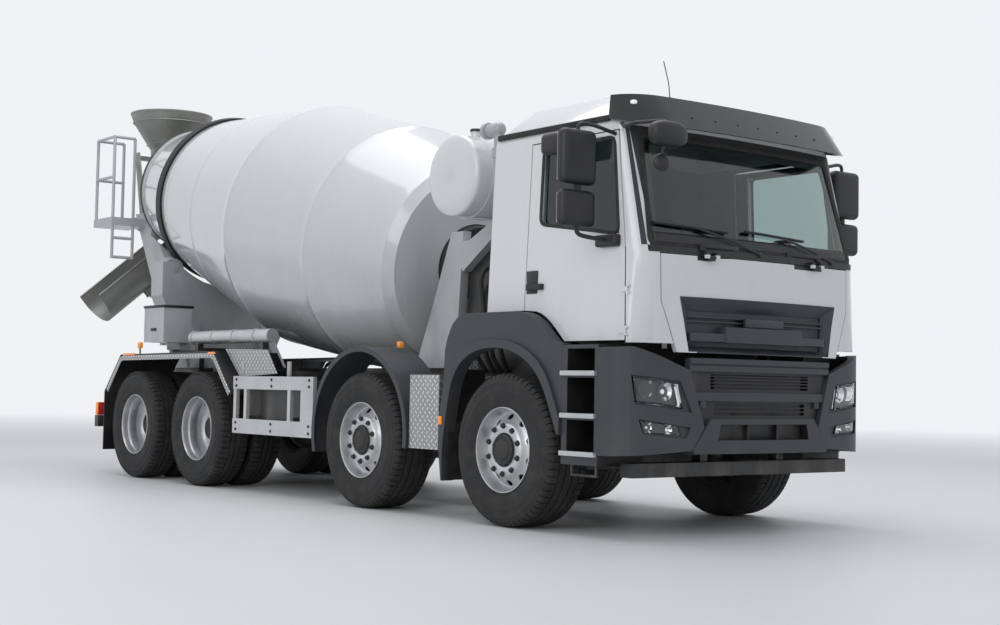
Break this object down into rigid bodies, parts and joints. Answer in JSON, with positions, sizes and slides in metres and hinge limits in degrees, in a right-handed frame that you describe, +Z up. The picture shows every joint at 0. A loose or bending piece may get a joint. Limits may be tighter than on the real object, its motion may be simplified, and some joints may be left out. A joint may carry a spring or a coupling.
{
  "type": "concrete mixer truck",
  "caption": "Concrete mixer truck with a tilting cab, steered front axles, an inclined revolving drum, feed hopper and a swivelling chute",
  "frame": {"origin": "on the ground, below the middle of the bounding box", "axes": "+X forward, +Y to the truck's left, +Z up"},
  "size_m": [9.87, 3, 4.08],
  "materials": {
    "chassis_frame": "semi-gloss black paint",
    "mixer_frame": "light grey paint",
    "steer_axle_beams": "semi-gloss black paint",
    "drive_axles": "semi-gloss black paint",
    "leaf_springs": "dark cast and forged iron",
    "engine": "dark cast and forged iron",
    "prop_shafts": "dark cast and forged iron",
    "side_boxes": "bright sheet and plate",
    "side_guards": "light grey paint",
    "fender_axle_2": "slate-grey moulded plastic",
    "rear_mudguards": "slate-grey moulded plastic",
    "bumper": "slate-grey moulded plastic",
    "underrun_bar": "semi-gloss black paint",
    "lamps": "clear lamp lenses",
    "steps": "slate-grey moulded plastic",
    "wheel_arches": "slate-grey moulded plastic",
    "air_intake": "light grey paint",
    "rear_pedestal": "light grey paint",
    "front_pedestal": "light grey paint",
    "drum_drive": "semi-gloss black paint",
    "water_tank": "glossy off-white paint",
    "feed_hopper": "worn steel sheet",
    "collector": "worn steel sheet",
    "platform": "light grey paint",
    "control_box": "bright sheet and plate",
    "cab_shell": "glossy off-white paint",
    "cab_roof": "glossy off-white paint",
    "windscreen": "tinted laminated glass",
    "sun_visor": "slate-grey moulded plastic",
    "cab_interior": "dark trim and cloth",
    "front_mirror": "slate-grey moulded plastic",
    "door_right": "glossy off-white paint",
    "glass_right": "tinted laminated glass",
    "mirror_right": "slate-grey moulded plastic",
    "door_left": "glossy off-white paint",
    "glass_left": "tinted laminated glass",
    "mirror_left": "slate-grey moulded plastic",
    "front_flap": "glossy off-white paint",
    "drum_shell": "glossy off-white paint",
    "drum_blades": "worn steel sheet",
    "drum_track": "dark running steel",
    "roller_right": "light grey paint",
    "roller_left": "light grey paint",
    "chute_arm": "light grey paint",
    "chute": "worn steel sheet",
    "jack_tube": "semi-gloss black paint",
    "jack_rod": "dark running steel",
    "knuckle_1_right": "dark cast and forged iron",
    "knuckle_1_left": "dark cast and forged iron",
    "knuckle_2_right": "dark cast and forged iron",
    "knuckle_2_left": "dark cast and forged iron",
    "wheel_1_right": "tyre rubber on a silver disc wheel",
    "wheel_1_left": "tyre rubber on a silver disc wheel",
    "wheel_2_right": "tyre rubber on a silver disc wheel",
    "wheel_2_left": "tyre rubber on a silver disc wheel",
    "wheel_3_right": "tyre rubber on a silver disc wheel",
    "wheel_3_left": "tyre rubber on a silver disc wheel",
    "wheel_4_right": "tyre rubber on a silver disc wheel",
    "wheel_4_left": "tyre rubber on a silver disc wheel"
  },
  "bodies": {
    "truck": {"chassis_frame": "chassis_frame", "mixer_frame": "mixer_frame", "steer_axle_beams": "steer_axle_beams", "drive_axles": "drive_axles", "leaf_springs": "leaf_springs", "engine": "engine", "prop_shafts": "prop_shafts", "side_boxes": "side_boxes", "side_guards": "side_guards", "fender_axle_2": "fender_axle_2", "rear_mudguards": "rear_mudguards", "bumper": "bumper", "underrun_bar": "underrun_bar", "lamps": "lamps", "steps": "steps", "wheel_arches": "wheel_arches", "air_intake": "air_intake", "rear_pedestal": "rear_pedestal", "front_pedestal": "front_pedestal", "drum_drive": "drum_drive", "water_tank": "water_tank", "feed_hopper": "feed_hopper", "collector": "collector", "platform": "platform", "control_box": "control_box"},
    "cab": {"cab_shell": "cab_shell", "cab_roof": "cab_roof", "windscreen": "windscreen", "sun_visor": "sun_visor", "cab_interior": "cab_interior", "front_mirror": "front_mirror"},
    "right_door": {"door_right": "door_right", "glass_right": "glass_right", "mirror_right": "mirror_right"},
    "left_door": {"door_left": "door_left", "glass_left": "glass_left", "mirror_left": "mirror_left"},
    "flap": {"front_flap": "front_flap"},
    "drum": {"drum_shell": "drum_shell", "drum_blades": "drum_blades", "drum_track": "drum_track"},
    "right_roller": {"roller_right": "roller_right"},
    "left_roller": {"roller_left": "roller_left"},
    "swivel_arm": {"chute_arm": "chute_arm"},
    "trough": {"chute": "chute"},
    "jack": {"jack_tube": "jack_tube"},
    "jack_screw": {"jack_rod": "jack_rod"},
    "right_hub_1": {"knuckle_1_right": "knuckle_1_right"},
    "left_hub_1": {"knuckle_1_left": "knuckle_1_left"},
    "right_hub_2": {"knuckle_2_right": "knuckle_2_right"},
    "left_hub_2": {"knuckle_2_left": "knuckle_2_left"},
    "right_wheel_1": {"wheel_1_right": "wheel_1_right"},
    "left_wheel_1": {"wheel_1_left": "wheel_1_left"},
    "right_wheel_2": {"wheel_2_right": "wheel_2_right"},
    "left_wheel_2": {"wheel_2_left": "wheel_2_left"},
    "right_wheel_3": {"wheel_3_right": "wheel_3_right"},
    "left_wheel_3": {"wheel_3_left": "wheel_3_left"},
    "right_wheel_4": {"wheel_4_right": "wheel_4_right"},
    "left_wheel_4": {"wheel_4_left": "wheel_4_left"}
  },
  "joints": [
    {"name": "cab_tilt", "type": "hinge", "parent": "truck", "child": "cab", "pos_m": [4.585, 0, 0.8], "axis": [0, 1, 0], "range_deg": [0, 60]},
    {"name": "right_door_hinge", "type": "hinge", "parent": "cab", "child": "right_door", "pos_m": [4.551, -1.131, 1.29], "axis": [0, 0.0454, 0.999], "range_deg": [0, 70]},
    {"name": "left_door_hinge", "type": "hinge", "parent": "cab", "child": "left_door", "pos_m": [4.551, 1.131, 1.29], "axis": [0, 0.0454, -0.999], "range_deg": [0, 70]},
    {"name": "flap_hinge", "type": "hinge", "parent": "cab", "child": "flap", "pos_m": [4.747, 0, 1.852], "axis": [0, -1, 0], "range_deg": [0, 80]},
    {"name": "drum_spin", "type": "hinge", "parent": "truck", "child": "drum", "pos_m": [-0.96337, 0, 2.52396], "axis": [-0.9774, 0, 0.2113], "continuous": true},
    {"name": "right_roller_spin", "type": "hinge", "parent": "truck", "child": "right_roller", "pos_m": [-3.02473, -0.65584, 2.16999], "axis": [-0.9774, 0, 0.2113], "continuous": true},
    {"name": "left_roller_spin", "type": "hinge", "parent": "truck", "child": "left_roller", "pos_m": [-3.02473, 0.65584, 2.16999], "axis": [-0.9774, 0, 0.2113], "continuous": true},
    {"name": "chute_swivel", "type": "hinge", "parent": "truck", "child": "swivel_arm", "pos_m": [-4.515, 0, 1.52], "axis": [0, 0, 1], "range_deg": [-180, 0]},
    {"name": "chute_tilt", "type": "hinge", "parent": "swivel_arm", "child": "trough", "pos_m": [-4.515, 0, 2.45], "axis": [1, 0, 0], "range_deg": [-25, 8]},
    {"name": "jack_pivot", "type": "hinge", "parent": "swivel_arm", "child": "jack", "pos_m": [-4.405, 0.06, 1.58], "axis": [1, 0, 0], "range_deg": [-1.8, 5.6]},
    {"name": "jack_slide", "type": "slide", "parent": "jack", "child": "jack_screw", "axis": [0, -0.5905, 0.807], "range_m": [-0.069, 0.215]},
    {"name": "steer_1_right", "type": "hinge", "parent": "truck", "child": "right_hub_1", "pos_m": [3.435, -0.93, 0.536], "axis": [0, 0, 1], "range_deg": [-38, 38]},
    {"name": "steer_1_left", "type": "hinge", "parent": "truck", "child": "left_hub_1", "pos_m": [3.435, 0.93, 0.536], "axis": [0, 0, 1], "range_deg": [-38, 38]},
    {"name": "steer_2_right", "type": "hinge", "parent": "truck", "child": "right_hub_2", "pos_m": [1.628, -0.93, 0.536], "axis": [0, 0, 1], "range_deg": [-24.7, 24.7]},
    {"name": "steer_2_left", "type": "hinge", "parent": "truck", "child": "left_hub_2", "pos_m": [1.628, 0.93, 0.536], "axis": [0, 0, 1], "range_deg": [-24.7, 24.7]},
    {"name": "wheel_1_right_spin", "type": "hinge", "parent": "right_hub_1", "child": "right_wheel_1", "pos_m": [3.435, -1.061, 0.536], "axis": [0, 1, 0], "continuous": true},
    {"name": "wheel_1_left_spin", "type": "hinge", "parent": "left_hub_1", "child": "left_wheel_1", "pos_m": [3.435, 1.061, 0.536], "axis": [0, 1, 0], "continuous": true},
    {"name": "wheel_2_right_spin", "type": "hinge", "parent": "right_hub_2", "child": "right_wheel_2", "pos_m": [1.628, -1.061, 0.536], "axis": [0, 1, 0], "continuous": true},
    {"name": "wheel_2_left_spin", "type": "hinge", "parent": "left_hub_2", "child": "left_wheel_2", "pos_m": [1.628, 1.061, 0.536], "axis": [0, 1, 0], "continuous": true},
    {"name": "wheel_3_right_spin", "type": "hinge", "parent": "truck", "child": "right_wheel_3", "pos_m": [-1.189, -1.061, 0.536], "axis": [0, 1, 0], "continuous": true},
    {"name": "wheel_3_left_spin", "type": "hinge", "parent": "truck", "child": "left_wheel_3", "pos_m": [-1.189, 1.061, 0.536], "axis": [0, 1, 0], "continuous": true},
    {"name": "wheel_4_right_spin", "type": "hinge", "parent": "truck", "child": "right_wheel_4", "pos_m": [-2.545, -1.061, 0.536], "axis": [0, 1, 0], "continuous": true},
    {"name": "wheel_4_left_spin", "type": "hinge", "parent": "truck", "child": "left_wheel_4", "pos_m": [-2.545, 1.061, 0.536], "axis": [0, 1, 0], "continuous": true}
  ],
  "couplings": [
    {"joint": "steer_1_left", "follows": "steer_1_right", "ratio": 1},
    {"joint": "steer_2_right", "follows": "steer_1_right", "ratio": 0.65},
    {"joint": "steer_2_left", "follows": "steer_1_right", "ratio": 0.65},
    {"joint": "right_roller_spin", "follows": "drum_spin", "ratio": -7.5},
    {"joint": "left_roller_spin", "follows": "drum_spin", "ratio": -7.5},
    {"joint": "jack_pivot", "follows": "chute_tilt", "ratio": -0.22},
    {"joint": "jack_slide", "follows": "chute_tilt", "m_per_rad": -0.49}
  ]
}
